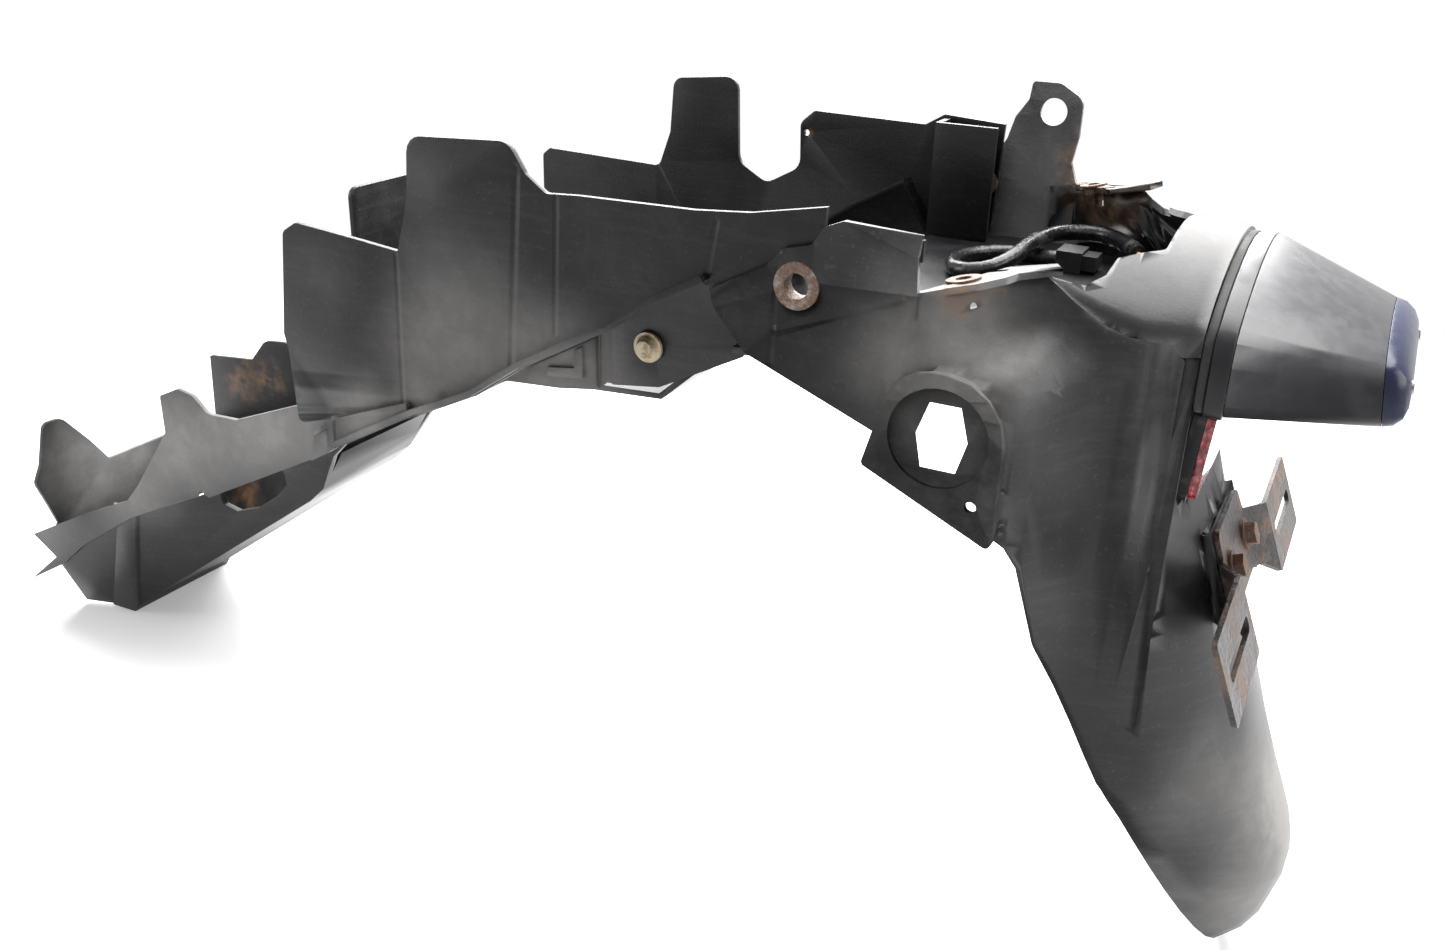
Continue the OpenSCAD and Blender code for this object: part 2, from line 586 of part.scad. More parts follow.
module ledge_bush_left() color("#9a6b45") centred() ledge_frame() translate([0, -ledge_hole_y, 0]) difference() {
    union() {
        translate([0, 0, seat_gap / 2]) cylinder(d = bush_flange_d, h = 0.8);
        translate([0, 0, -wall_t - 1]) cylinder(d = bush_d, h = wall_t + 1.4);
    }
    translate([0, 0, -10]) cylinder(d = bush_bore, h = 20);
}
module ledge_bush_right() mirror([0, 1, 0]) ledge_bush_left();

panel_out = 107;
clip_x = 129;
clip_z = 283;
clip_shank_d = 6;
screw_d = 5;
module panel_clip_left() color("#cfc6ae") centred() translate([clip_x, -panel_out, clip_z]) rotate([90, 0, 0]) {
    translate([0, 0, seat_gap / 2]) cylinder(d = 13, h = 1.5);
    translate([0, 0, 1.4]) cylinder(d1 = 11, d2 = 7, h = 3.4);
    translate([0, 0, -8]) cylinder(d = clip_shank_d, h = 8.2);
}
module panel_clip_right() mirror([0, 1, 0]) panel_clip_left();

module joint_screws() color("#5c5550") centred() for (y = [-60, 60]) translate([184, y, shelf_z]) {
    translate([0, 0, seat_gap / 2]) cylinder(d = 11, h = 2.6);
    translate([0, 0, -9]) cylinder(d = screw_d, h = 9.2);
}

// Lamp
lamp_steps = 16;
function lamp_top(w, top, bow, r) = [for (k = [0 : lamp_steps])
    let (p = cos(k * 180 / lamp_steps)) [p * w / 2, top - bow * pow(p * w / 2, 2) - r * corner_drop(abs(p))]];
function lamp_face(w, top, low, bow, r) =
    rounded(concat([[-w / 2 + 1, low, 6], [w / 2 - 1, low, 6]], lamp_top(w, top, bow, r)));
gasket_x = rear_x + ridge_out + seat_gap;
base_x = gasket_x + gasket_t + seat_gap;
housing_x = base_x + lamp_base_t + seat_gap;
lens_x = housing_x + lamp_len + seat_gap;
lamp_bow = 1 / (2 * crown_r);
lamp_end_bow = 0.0025;

module front_face(w, low) polygon(lamp_face(w, roof_z - lamp_drop, low, lamp_bow, roof_r));
module front_slab(inset) linear_extrude(0.1) offset(delta = -inset) front_face(lamp_w - 2, lamp_low_z);
module end_slab(inset) linear_extrude(0.1) offset(delta = -inset)
    polygon(lamp_face(lamp_end_w, lamp_end_top_z, lamp_low_z, lamp_end_bow, 9));
module at_x(x) translate([x, 0, 0]) rotate([90, 0, 90]) children();
module end_frame(x) translate([x, 0, lamp_low_z]) rotate([0, -lamp_end_tilt, 0]) translate([0, 0, -lamp_low_z]) children();
module at_end(x) end_frame(x) rotate([90, 0, 90]) children();

module lamp_gasket() color("#151617") centred() at_x(gasket_x) linear_extrude(gasket_t) difference() {
    front_face(lamp_w - 3, lamp_low_z);
    offset(delta = -7) front_face(lamp_w - 3, lamp_low_z);
}

module lamp_base() color("#222326") centred() {
    at_x(base_x) linear_extrude(lamp_t) front_face(lamp_w, lamp_low_z - 1);
    at_x(base_x) linear_extrude(lamp_base_t) difference() {
        front_face(lamp_w, lamp_low_z - 1);
        offset(delta = -lamp_t) front_face(lamp_w, lamp_low_z - 1);
    }
    for (y = [-lamp_stud_pitch / 2, lamp_stud_pitch / 2])
        translate([rear_x - 12, y, lamp_stud_z]) rotate([0, 90, 0]) cylinder(d = lamp_stud_d, h = base_x - rear_x + 13);
}

module lamp_housing() color("#17181b") centred() difference() {
    hull() {
        at_x(housing_x) front_slab(0);
        at_end(lens_x - seat_gap - 0.1) end_slab(0);
    }
    hull() {
        at_x(housing_x - 0.1) front_slab(lamp_t);
        at_end(lens_x - seat_gap + 0.1) end_slab(lamp_t);
    }
}

module lamp_lens() color("#2a2f45") centred() difference() {
    hull() {
        at_end(lens_x) end_slab(0);
        at_end(lens_x + lens_depth * 0.4) end_slab(1);
        at_end(lens_x + lens_depth * 0.75) end_slab(4);
        at_end(lens_x + lens_depth * 0.93) end_slab(8);
        at_end(lens_x + lens_depth) end_slab(13);
    }
    hull() {
        at_end(lens_x - 0.1) end_slab(lamp_t);
        at_end(lens_x + lens_depth * 0.4 - 1) end_slab(lamp_t + 1);
        at_end(lens_x + lens_depth - lamp_t) end_slab(14);
    }
    for (y = [-lens_screw_y, lens_screw_y]) at_lens_screw(y) {
        cylinder(d = 7, h = 10);
        translate([0, 0, -8]) cylinder(d = 3.4, h = 12);
    }
}

module at_lens_screw(y) end_frame(lens_x + lens_depth - 1.1) translate([0, y, lens_screw_z]) rotate([0, 90, 0]) children();
lens_screw_y = 38;
lens_screw_z = (lamp_end_top_z + lamp_low_z) / 2 - 2;
module lens_screws() color("#6b6b70") centred() for (y = [-lens_screw_y, lens_screw_y]) at_lens_screw(y) {
    translate([0, 0, seat_gap / 2]) cylinder(d = 5.6, h = 1.6);
    translate([0, 0, -7]) cylinder(d = 3, h = 7.2);
}

lamp_mid_z = lamp_stud_z;
module bulb_holder() color("#3a3a3c") centred() translate([base_x + lamp_t + seat_gap, 0, lamp_mid_z]) rotate([0, 90, 0]) {
    cylinder(d = 26, h = 3);
    cylinder(d = 19, h = 13);
}
module bulb() color("#e8e4d8") centred() translate([base_x + lamp_t + 2 * seat_gap + 13, 0, lamp_mid_z]) rotate([0, 90, 0]) {
    cylinder(d = 14, h = 6);
    translate([0, 0, 5.9]) cylinder(d1 = 12, d2 = 18, h = 5);
    translate([0, 0, 12]) sphere(d = 19);
}
module lamp_nuts() color("#8d8a84") centred() for (y = [-lamp_stud_pitch / 2, lamp_stud_pitch / 2])
    translate([rear_x - wall_t - seat_gap - 4, y, lamp_stud_z]) rotate([0, 90, 0]) stud_nut();

// Loom
module loom_grommet() color("#101112") centred() translate([rear_x, 0, lamp_stud_z]) rotate([0, 90, 0]) difference() {
    union() {
        translate([0, 0, -wall_t - 2.2]) cylinder(d = loom_hole_d + 4, h = 2);
        translate([0, 0, -wall_t - 2]) cylinder(d = loom_hole_d - 2 * seat_gap, h = wall_t + 4);
        translate([0, 0, 0.2]) cylinder(d = loom_hole_d + 4, h = 2);
    }
    translate([0, 0, -wall_t - 3]) cylinder(d = wire_d - 0.6, h = wall_t + 8);
}

function path_dir(p, i) = unit(p[min(i + 1, len(p) - 1)] - p[max(i - 1, 0)]);
function ring(p, i, r, sides) =
    let (t = path_dir(p, i), a = unit(cross(t, [0, 0, 1])), b = cross(a, t))
    [for (k = [0 : sides - 1]) p[i] + r * (cos(360 * k / sides) * a + sin(360 * k / sides) * b)];
module tube(p, d, sides = 8) {
    n = len(p);
    points = [for (i = [0 : n - 1]) each ring(p, i, d / 2, sides)];
    skin = [for (i = [0 : n - 2]) for (k = [0 : sides - 1]) let (m = (k + 1) % sides)
        each [[i * sides + k, (i + 1) * sides + m, (i + 1) * sides + k], [i * sides + k, i * sides + m, (i + 1) * sides + m]]];
    caps = [[for (k = [sides - 1 : -1 : 0]) k], [for (k = [0 : sides - 1]) (n - 1) * sides + k]];
    polyhedron(points = points, faces = concat(skin, caps));
}

sleeve_d = 8;
sleeve_path = [[292, 58, 310.2], [289, 65, 310], [280, 81, 309.5],
    [269, 92, 309.2], [257, 92, 309], [248, 82, 309], [244, 67, 309], [242, 51, 308.5], [240, 36, 306], [234, 24, 303],
    [225, 20, 301], [216, 25, 300.2], [212, 37, 300.2], [214, 51, 300.2], [222, 62, 300.2], [232, 67, 300.2], [243, 68, 300.2],
    [253.8, 68, 300.2]];
wire_d = 2.2;
wire_path = [[330.9, 0, 312], [327, 0, 312], [320.5, 4, 312.4], [313.5, 13, 312.8], [307, 25, 312.4], [300.5, 38.5, 311.6],
    [294.8, 51.6, 310.4], [292.1, 57.77, 310.2]];
module loom_sleeve() color("#121314") centred() tube(sleeve_path, sleeve_d, 10);
module tail_wire() color("#c9b98a") centred() tube(wire_path, wire_d, 8);
module loom_connector() color("#1b1c1e") centred() translate([254, 60, shelf_z + seat_gap]) {
    cube([12, 16, 10]);
    translate([11.9, 2, 1.5]) cube([7, 12, 7]);
}

// Reflector
module refl_slab(x, w, h, t, r) refl_frame() translate([x, 0, 0]) rotate([90, 0, 90]) linear_extrude(t) polygon(rounded([
    [-w / 2, -h / 2, r], [w / 2, -h / 2, r], [w / 2, h / 2, r], [-w / 2, h / 2, r]]));
module reflector_backing() color("#18191b") centred() {
    refl_slab(seat_gap, refl_w, refl_h, refl_back_t, 4);
    refl_frame() translate([-refl_pad_t - 7, 0, 0]) rotate([0, 90, 0]) cylinder(d = lamp_stud_d, h = refl_pad_t + 8);
}
module reflector_lens() color("#b3202c") centred()
    refl_slab(2 * seat_gap + refl_back_t, refl_w - 3, refl_h - 3, refl_lens_t, 3);
module stud_nut() difference() {
    cylinder(d = 9.2, h = 4, $fn = 6);
    translate([0, 0, -1]) cylinder(d = lamp_stud_d + 0.1, h = 6);
}
module reflector_nut() color("#8d8a84") centred() refl_frame() translate([-refl_pad_t - seat_gap - 4, 0, 0]) rotate([0, 90, 0]) stud_nut();

// Plate bracket
ear_in = ear_y - ear_w / 2;
ear_out = ear_y + ear_w / 2;
module plate_bracket() color("#6d5040") centred() bracket_frame() difference() {
    intersection() {
        translate([bracket_t / 2, 0, -60]) linear_extrude(120) polygon(
            let (side = [[0, ear_out], [0, ear_in + 1], [-joggle, 31], [-joggle, 0]])
            let (line = concat(side, [for (i = [len(side) - 2 : -1 : 0]) [side[i][0], -side[i][1]]]))
            ribbon(line, -bracket_t));
        rotate([90, 0, 90]) translate([0, 0, -30]) linear_extrude(60) polygon(rounded([
            [-ear_out, -ear_h / 2, 2], [-ear_in - 2, -ear_h / 2, 3], [-ear_in + 6, -9, 3], [-28, -9, 3], [-25, -6, 2],
            [25, -6, 2], [28, -9, 3], [ear_in - 6, -9, 3], [ear_in + 2, -ear_h / 2, 3], [ear_out, -ear_h / 2, 2],
            [ear_out, ear_h / 2, 2], [ear_in, ear_h / 2, 3], [29, 20, 3], [27, 31, 4], [-27, 31, 4], [-29, 20, 3],
            [-ear_in, ear_h / 2, 3], [-ear_out, ear_h / 2, 2]]));
    }
    for (s = [-1, 1]) {
        translate([-20, s * ear_y, 0]) rotate([90, 0, 90]) linear_extrude(40) union() {
            square([slot_len - slot_w, slot_w], center = true);
            for (e = [-1, 1]) translate([e * (slot_len - slot_w) / 2, 0]) circle(d = slot_w);
        }
        translate([-30, s * bracket_bolt_pitch / 2, bolt_up]) rotate([0, 90, 0]) cylinder(d = bracket_bolt_d + 2 * seat_gap, h = 60);
    }
}

module at_bracket_bolts() for (s = [-1, 1])
    bracket_frame() translate([-joggle, s * bracket_bolt_pitch / 2, bolt_up]) rotate([0, 90, 0]) children();
washer_t = 1.4;
damper_d = 18;
damper_t = 2.2;
behind_pad = bracket_t / 2 + seat_gap + pad_t;
module bracket_washers() color("#7d6a58") centred() at_bracket_bolts() translate([0, 0, bracket_t / 2 + seat_gap / 2]) difference() {
    cylinder(d = 14, h = washer_t);
    translate([0, 0, -1]) cylinder(d = bracket_bolt_d + 2 * seat_gap, h = 4);
}
module bracket_bolts() color("#6a4a36") centred() at_bracket_bolts() {
    translate([0, 0, bracket_t / 2 + washer_t + seat_gap]) cylinder(d = 10.8, h = 4.2, $fn = 6);
    translate([0, 0, -behind_pad - damper_t - 8]) cylinder(d = bracket_bolt_d, h = behind_pad + damper_t + 8 + bracket_t / 2 + washer_t + 1);
}
module bracket_dampers() color("#1a1a1a") centred() at_bracket_bolts() translate([0, 0, -behind_pad - seat_gap - damper_t]) difference() {
    cylinder(d = damper_d, h = damper_t);
    translate([0, 0, -1]) cylinder(d = bracket_bolt_d + 2 * seat_gap, h = 5);
}
module bracket_nuts() color("#7d6a58") centred() at_bracket_bolts() translate([0, 0, -behind_pad - 2 * seat_gap - damper_t - 4.2]) difference() {
    cylinder(d = 11, h = 4.2, $fn = 6);
    translate([0, 0, -1]) cylinder(d = bracket_bolt_d + 0.1, h = 7);
}

front_fender();
rear_fender();
collar_left();
collar_right();
ledge_bush_left();
ledge_bush_right();
panel_clip_left();
panel_clip_right();
joint_screws();
lamp_gasket();
lamp_base();
lamp_housing();
lamp_lens();
lens_screws();
bulb_holder();
bulb();
lamp_nuts();
loom_grommet();
loom_sleeve();
loom_connector();
tail_wire();
reflector_backing();
reflector_lens();
reflector_nut();
plate_bracket();
bracket_dampers();
bracket_bolts();
bracket_washers();
bracket_nuts();
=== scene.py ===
import json
import math
import bpy
from mathutils import Matrix, Vector


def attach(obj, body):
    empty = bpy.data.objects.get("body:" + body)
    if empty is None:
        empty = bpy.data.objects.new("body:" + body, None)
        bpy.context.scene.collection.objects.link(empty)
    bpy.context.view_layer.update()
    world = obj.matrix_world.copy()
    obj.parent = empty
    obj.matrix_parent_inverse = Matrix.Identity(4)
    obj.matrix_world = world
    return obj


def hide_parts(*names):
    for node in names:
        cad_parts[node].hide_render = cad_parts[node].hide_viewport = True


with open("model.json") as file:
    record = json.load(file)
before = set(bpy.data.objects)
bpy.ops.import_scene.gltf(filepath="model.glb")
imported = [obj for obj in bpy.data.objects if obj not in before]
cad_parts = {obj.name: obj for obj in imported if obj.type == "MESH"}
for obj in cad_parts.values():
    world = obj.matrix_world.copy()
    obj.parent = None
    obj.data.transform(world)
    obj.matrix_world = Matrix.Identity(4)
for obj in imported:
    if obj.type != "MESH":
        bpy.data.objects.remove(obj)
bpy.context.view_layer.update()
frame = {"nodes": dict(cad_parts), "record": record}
nodes = frame["nodes"]
slotOf = {part["node"]: part["material_slot"] for part in frame["record"]["subparts"]}
scene = bpy.context.scene
# the part's own datum lies this far ahead of the middle of its box, in metres
midX = 0.0212
print("frame loaded:", len(nodes), "pieces")

# camera, in metres, radians and pixels of the frame
camera = {
    "place": (0.37257, -0.56509, 0.45754),
    "heading": 0.4633,
    "pitch": 0.4134,
    "roll": 0.0316,
    "focalPixels": 1333.3,
    "frameWidth": 1445,
    "sensorWidth": 36,
    "nearClip": 0.01,
}


def makeCamera(c):
    h, p, r = c["heading"], c["pitch"], c["roll"]
    ahead = Vector((-math.sin(h) * math.cos(p), math.cos(h) * math.cos(p), -math.sin(p)))
    right = Vector((math.cos(h), math.sin(h), 0))
    up = right.cross(ahead)
    across = math.cos(r) * right + math.sin(r) * up
    upright = -math.sin(r) * right + math.cos(r) * up
    bpy.ops.object.camera_add()
    cam = bpy.context.object
    cam.name = "studioCamera"
    cam.data.sensor_width = c["sensorWidth"]
    cam.data.lens = c["sensorWidth"] * c["focalPixels"] / c["frameWidth"]
    cam.data.clip_start = c["nearClip"]
    turned = Matrix((across, upright, -ahead)).transposed().to_4x4()
    turned.translation = Vector(c["place"])
    cam.matrix_world = turned
    scene.camera = cam


def deselectAll():
    if bpy.context.object and bpy.context.object.mode != "OBJECT":
        bpy.ops.object.mode_set(mode="OBJECT")
    bpy.ops.object.select_all(action="DESELECT")


def pickOnly(piece):
    deselectAll()
    piece.select_set(True)
    bpy.context.view_layer.objects.active = piece


# a place given in millimetres from the part's own datum, in metres in the frame
def fromDatum(point):
    x, y, z = point
    return Vector((x / 1000 - midX, y / 1000, z / 1000))


makeCamera(camera)

# loom: two cords, whose routes repeat the solids' points in millimetres from the part's own datum
loom = {
    "sleevePath": [(292, 58, 310.2), (289, 65, 310), (280, 81, 309.5), (269, 92, 309.2), (257, 92, 309),
                   (248, 82, 309), (244, 67, 309), (242, 51, 308.5), (240, 36, 306), (234, 24, 303),
                   (225, 20, 301), (216, 25, 300.2), (212, 37, 300.2), (214, 51, 300.2), (222, 62, 300.2),
                   (232, 67, 300.2), (243, 68, 300.2), (253.8, 68, 300.2)],
    "sleeveWidth": 0.0078,
    "wirePath": [(330.9, 0, 312), (327, 0, 312), (320.5, 4, 312.4), (313.5, 13, 312.8), (307, 25, 312.4),
                 (300.5, 38.5, 311.6), (294.8, 51.6, 310.4), (292.1, 57.77, 310.2)],
    "wireWidth": 0.0021,
    "roundness": 4,
    "stretchParts": 2,
}


# a smooth line through the points, each stretch in equal parts
def smoothRoute(points, parts):
    route = [fromDatum(point) for point in points]
    last = len(route) - 1
    line = [route[0]]
    for i in range(last):
        before, a, b, after = route[max(i - 1, 0)], route[i], route[i + 1], route[min(i + 2, last)]
        for k in range(1, parts + 1):
            t = k / parts
            line.append(0.5 * (2 * a + (b - before) * t + (2 * before - 5 * a + 4 * b - after) * t ** 2
                               + (3 * a - before - 3 * b + after) * t ** 3))
    return line


def makeCord(name, points, width):
    line = smoothRoute(points, loom["stretchParts"])
    curve = bpy.data.curves.new(name, "CURVE")
    curve.dimensions = "3D"
    # the width is in the points, because the curve's bounding box grows by their radius alone
    curve.bevel_depth = 1.0
    curve.bevel_resolution = loom["roundness"]
    curve.use_fill_caps = True
    spline = curve.splines.new("POLY")
    spline.points.add(len(line) - 1)
    for point, place in zip(spline.points, line):
        point.co = (*place, 1)
        point.radius = width / 2
    spline.use_smooth = True
    cord = bpy.data.objects.new(name, curve)
    scene.collection.objects.link(cord)
    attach(cord, "root")
    length = sum((b - a).length for a, b in zip(line, line[1:]))
    return cord, line[0], length


sleeve, sleeveStart, sleeveLength = makeCord("loomSleeve", loom["sleevePath"], loom["sleeveWidth"])
wire, wireStart, wireLength = makeCord("tailWire", loom["wirePath"], loom["wireWidth"])
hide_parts("loom_sleeve")
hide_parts("tail_wire")
tuple(wireStart)
tuple(sleeveStart)
print("cords:", round(sleeveLength, 3), round(wireLength, 3))


# a shader socket that takes part in expressions
class Flow:
    def __init__(self, tree, socket=None):
        self.tree = tree
        self.socket = socket

    def add(self, kind, settings=None, inputs=None, out=0):
        node = self.tree.nodes.new(kind)
        for key, value in (settings or {}).items():
            if key == "stops":
                ramp = node.color_ramp
                while len(ramp.elements) < len(value):
                    ramp.elements.new(0.5)
                for stop, (place, shade) in zip(ramp.elements, value):
                    stop.position = place
                    stop.color = (*shade, 1)
            else:
                setattr(node, key, value)
        for key, value in (inputs or {}).items():
            socket = node.inputs[key]
            if isinstance(value, Flow):
                self.tree.links.new(value.socket, socket)
            else:
                socket.default_value = value
        return Flow(self.tree, node.outputs[out])

    def maths(self, operation, a, b=0.0, clamp=False):
        return self.add("ShaderNodeMath", {"operation": operation, "use_clamp": clamp}, {0: a, 1: b})

    def __add__(self, other):
        return self.maths("ADD", self, other)

    def __sub__(self, other):
        return self.maths("SUBTRACT", self, other)

    def __mul__(self, other):
        return self.maths("MULTIPLY", self, other)

    def __pow__(self, other):
        return self.maths("POWER", self, other)

    def __radd__(self, other):
        return self.maths("ADD", other, self)

    def __rsub__(self, other):
        return self.maths("SUBTRACT", other, self)

    def clamped(self):
        return self.maths("ADD", self, 0.0, clamp=True)

    def most(self, other):
        return self.maths("MAXIMUM", self, other)

    # 0 to 1 with a soft start and end
    def eased(self):
        return self * self * (3.0 - self * 2.0)


def startMaterial(name):
    material = bpy.data.materials.new(name)
    material.use_nodes = True
    tree = material.node_tree
    flow = Flow(tree)
    place = flow.add("ShaderNodeTexCoord", out="Object")
    return material, tree.nodes["Principled BSDF"], flow, place


def feed(shader, key, value):
    value.tree.links.new(value.socket, shader.inputs[key])


def noise(flow, place, scale, detail, rough, low, high):
    grain = flow.add("ShaderNodeTexNoise", {},
                     {"Vector": place, "Scale": scale, "Detail": detail, "Roughness": rough})
    return flow.add("ShaderNodeMapRange", {"clamp": True},
                    {"Value": grain, "From Min": low, "From Max": high})


def stretched(flow, place, scale):
    return flow.add("ShaderNodeMapping", {}, {"Vector": place, "Scale": scale})


# inputs 6 and 7 and output 2 are the mix node's colour sockets
def blendColour(flow, mask, a, b):
    return flow.add("ShaderNodeMix", {"data_type": "RGBA"}, {0: mask, 6: a, 7: b}, out=2)


def bump(flow, height, strength, distance, under=None):
    inputs = {"Height": height, "Strength": strength, "Distance": distance}
    if under is not None:
        inputs["Normal"] = under
    return flow.add("ShaderNodeBump", {}, inputs)


# how far a surface looks up, from 0 to 1
def facing(flow):
    normal = flow.add("ShaderNodeNewGeometry", out="Normal")
    return flow.add("ShaderNodeSeparateXYZ", {}, {0: normal}, out="Z").clamped()


# 1 where a distance in metres is nothing, fading to 0 at a reach in millimetres
def fading(away, reach):
    return (1.0 - away * (1000 / reach)).clamped()


def spot(flow, place, centre, radius):
    away = flow.add("ShaderNodeVectorMath", {"operation": "DISTANCE"},
                    {0: place, 1: tuple(fromDatum(centre))}, out="Value")
    return fading(away, radius)


def mostOfSpots(flow, place, spots):
    masks = [spot(flow, place, centre, radius) for centre, radius in spots]
    whole = masks[0]
    for mask in masks[1:]:
        whole = whole.most(mask)
    return whole


# 1 along the line between two places, fading to 0 at its width
def crease(flow, place, start, end, width):
    a, b = fromDatum(start), fromDatum(end)
    span = b - a
    fromStart = flow.add("ShaderNodeVectorMath", {"operation": "SUBTRACT"}, {0: place, 1: tuple(a)})
    along = flow.add("ShaderNodeVectorMath", {"operation": "DOT_PRODUCT"},
                     {0: fromStart, 1: tuple(span / span.length_squared)}, out="Value")
    foot = flow.add("ShaderNodeVectorMath", {"operation": "SCALE"},
                    {0: tuple(span), "Scale": along.clamped()})
    away = flow.add("ShaderNodeVectorMath", {"operation": "DISTANCE"}, {0: fromStart, 1: foot},
                    out="Value")
    return fading(away, width).eased()


# dusty moulded plastic, with painted sheen and highlights on upward-facing surfaces and in pale marks
plastic = {
    "dark": (0.006, 0.006, 0.0072), "dustAndSheen": (0.29, 0.28, 0.27), "brown": (0.17, 0.095, 0.05),
    "rust": (0.19, 0.085, 0.035), "roughness": 0.34, "shine": 0.3,
    "cloud": {"scale": 7, "detail": 6, "rough": 0.6, "low": 0.38, "high": 0.68},
    "fine": {"scale": 60, "detail": 5, "rough": 0.65, "low": 0.42, "high": 0.62},
    "speck": {"scale": 420, "detail": 2, "rough": 0.5, "low": 0.62, "high": 0.72},
    "streak": {"scale": 4, "detail": 4, "rough": 0.6, "low": 0.5, "high": 0.72},
    "streakStretch": (9, 9, 70),
    "scratch": {"scale": 3, "detail": 3, "rough": 0.6, "low": 0.66, "high": 0.74},
    "scratchStretch": (12, 500, 500),
    # dust on upward-facing surfaces; the amount there is partly a painted highlight of the light from above
    "dustAndSheenOnTop": 0.14, "dustAll": 0.02, "dustInStreaks": 0.03, "dustInSpecks": 0.04,
    "paleInClouds": 0.2, "paleInFine": 0.15, "paleAll": 0.55,
    "dirtStrength": 1.6, "rustStrength": 1.3, "rustBetween": 0.2,
    "roughOfDust": 0.4, "roughOfClouds": 0.07, "polishOfScratches": 0.03,
    "grainScale": 900.0, "grainDetail": 2.0, "grainStrength": 0.2, "grainDepth": 0.0003,
    "scratchHeight": -0.15,
    "waveScale": 11.0, "waveDetail": 1.0, "waveHeight": 0.15, "foldStrength": 0.6, "foldDepth": 0.002,
}
# marks are in millimetres from the part's own datum: dirt and rust as place and radius, creases as
# start, end, width and depth, and pale marks of painted sheen and highlight, partly dust, as place,
# radius and amount
frontMarks = {
    "dirt": [((-300, 66, 136), 22), ((-272, 66, 141), 20), ((-163, 40, 128), 20), ((-262, 22, 76), 26),
             ((-290, 55, 54), 20), ((-345, 40, 62), 24), ((-345, 60, 95), 26)],
    "rust": [((101, 115, 338), 3)],
    "creases": [((4, -117, 225), (6, -117, 306), 2, -0.5), ((66, -117, 265), (72, -117, 352), 2.5, -0.5),
                ((89, -117, 285), (91, -117, 344), 2, -0.3), ((160, -117, 318), (164, -117, 342), 2, -0.3),
                ((-60, -117, 232), (24, -117, 241), 9, 1.6), ((-62, -117, 218), (10, -117, 232), 4, -1.2)],
    # pale marks: painted sheen and highlights on the near wall and the front band, partly dust
    "sheenAndDust": [((42, -117, 274), 62, 0.62), ((16, -117, 262), 44, 0.3), ((-36, -117, 290), 30, 0.12),
             ((20, -117, 345), 26, 0.2), ((-17, -117, 224), 30, 1.0), ((14, -117, 236), 22, 0.7),
             ((90, -107, 266), 46, 0.8), ((-120, -78, 190), 52, 1.0), ((-160, -84, 178), 54, 1.4),
             ((-208, -84, 156), 54, 1.3), ((-262, -84, 122), 60, 1.2), ((-378, -24, 96), 74, 1.5),
             ((-345, 20, 80), 50, 0.5), ((60, 116, 345), 30, 0.16)],
}
rearMarks = {
    "dirt": [((258, -103, 331), 19), ((262, 103, 333), 34)],
    "rust": [((258, -103, 331), 11), ((312, -86, 318), 3), ((372, -40, 30), 5), ((262, 103, 331), 18)],
    "creases": [((192, -120, 334), (190, -120, 291), 2, -0.5), ((192, -120, 304), (241, -120, 324), 2.5, -0.5),
                ((344, -60, 60), (405, -20, 80), 2.5, 0.5)],
    # pale marks: painted highlights on the flap, the roof and the pod top, partly dust
    "sheenAndDust": [((400, 0, 85), 66, 1.5), ((400, 20, 45), 60, 1.2), ((370, -50, 118), 40, 0.4),
             ((388, -30, 40), 40, 0.5), ((335, 0, 340), 60, 0.8), ((262, -114, 308), 52, 0.75),
             ((236, -116, 296), 34, 0.25), ((330, -70, 300), 30, 0.15)],
}


def makePlastic(name, p, marks):
    material, shader, flow, place = startMaterial(name)
    cloud = noise(flow, place, **p["cloud"])
    fine = noise(flow, place, **p["fine"])
    speck = noise(flow, place, **p["speck"])
    streak = noise(flow, stretched(flow, place, p["streakStretch"]), **p["streak"])
    scratch = noise(flow, stretched(flow, place, p["scratchStretch"]), **p["scratch"])
    # dust on upward-facing surfaces, partly a painted highlight where the light from above falls
    dustAndSheen = cloud * fine * (facing(flow) * p["dustAndSheenOnTop"] + p["dustAll"])
    dustAndSheen = dustAndSheen + streak * p["dustInStreaks"] + speck * p["dustInSpecks"]
    # pale marks lighten the colour: painted sheen and highlights, partly dust
    for centre, radius, amount in marks["sheenAndDust"]:
        mottle = cloud * p["paleInClouds"] + fine * p["paleInFine"] + p["paleAll"]
        dustAndSheen = dustAndSheen + spot(flow, place, centre, radius).eased() * mottle * amount
    dustAndSheen = dustAndSheen.clamped()
    colour = blendColour(flow, dustAndSheen, (*p["dark"], 1), (*p["dustAndSheen"], 1))
    dirt = mostOfSpots(flow, place, marks["dirt"]) * fine * p["dirtStrength"]
    colour = blendColour(flow, dirt.clamped(), colour, (*p["brown"], 1))
    rust = mostOfSpots(flow, place, marks["rust"]) * (fine + p["rustBetween"]) * p["rustStrength"]
    colour = blendColour(flow, rust.clamped(), colour, (*p["rust"], 1))
    feed(shader, "Base Color", colour)
    rough = p["roughness"] + dustAndSheen * p["roughOfDust"] + cloud * p["roughOfClouds"]
    feed(shader, "Roughness", rough - scratch * p["polishOfScratches"])
    shader.inputs["Specular IOR Level"].default_value = p["shine"]
    grain = flow.add("ShaderNodeTexNoise", {},
                     {"Vector": place, "Scale": p["grainScale"], "Detail": p["grainDetail"]})
    wave = flow.add("ShaderNodeTexNoise", {},
                    {"Vector": place, "Scale": p["waveScale"], "Detail": p["waveDetail"]})
    folds = wave * p["waveHeight"]
    for start, end, width, depth in marks["creases"]:
        folds = folds + crease(flow, place, start, end, width) * depth
    soft = bump(flow, folds, p["foldStrength"], p["foldDepth"])
    height = grain + scratch * p["scratchHeight"]
    feed(shader, "Normal", bump(flow, height, p["grainStrength"], p["grainDepth"], soft))
    return material


finishes = {
    "front_plastic": makePlastic("dustAndSheenFrontPlastic", plastic, frontMarks),
    "rear_plastic": makePlastic("dustAndSheenRearPlastic", {**plastic, "roughness": 0.36}, rearMarks),
}
